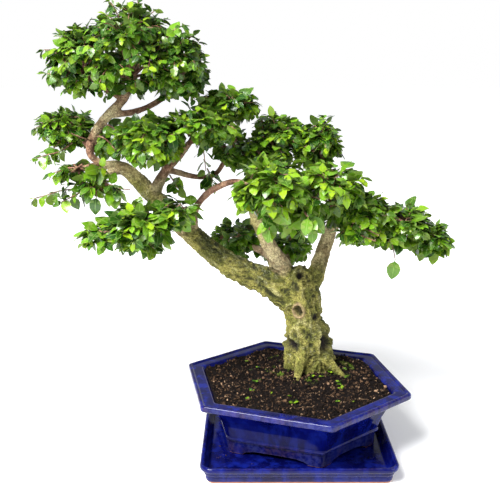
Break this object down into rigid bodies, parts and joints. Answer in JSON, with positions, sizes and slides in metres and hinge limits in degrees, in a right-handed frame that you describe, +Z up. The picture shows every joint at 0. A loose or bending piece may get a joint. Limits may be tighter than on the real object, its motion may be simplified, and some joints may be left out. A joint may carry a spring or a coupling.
{
  "type": "privet bonsai",
  "caption": "Old privet bonsai leaning to the left, with leaf pads on bare branches, in a long hexagonal glazed pot of soil on a rectangular glazed drip tray.",
  "frame": {"origin": "on the drip tray's underside, straight below the middle of the pot", "axes": "+Z up; the tree is seen from its front along +Y, and it leans towards -X"},
  "size_m": [0.5638, 0.3121, 0.564],
  "materials": {
    "blue_glaze": "gloss",
    "drain_mesh_plastic": "matte",
    "potting_soil": "matte",
    "privet_bark": "matte",
    "privet_leaf": "satin"
  },
  "bodies": {
    "root": {"drip_tray": "blue_glaze", "pot": "blue_glaze", "drain_mesh_left": "drain_mesh_plastic", "drain_mesh_right": "drain_mesh_plastic", "soil": "potting_soil", "tree_wood": "privet_bark", "leaves_crown": "privet_leaf", "leaves_upper_left": "privet_leaf", "leaves_left_finger": "privet_leaf", "leaves_left_tuft": "privet_leaf", "leaves_lower_left": "privet_leaf", "leaves_middle": "privet_leaf", "leaves_middle_upper": "privet_leaf", "leaves_centre_sprig": "privet_leaf", "leaves_upper_right": "privet_leaf", "leaves_front": "privet_leaf", "leaves_right": "privet_leaf", "leaves_back": "privet_leaf"}
  },
  "joints": []
}
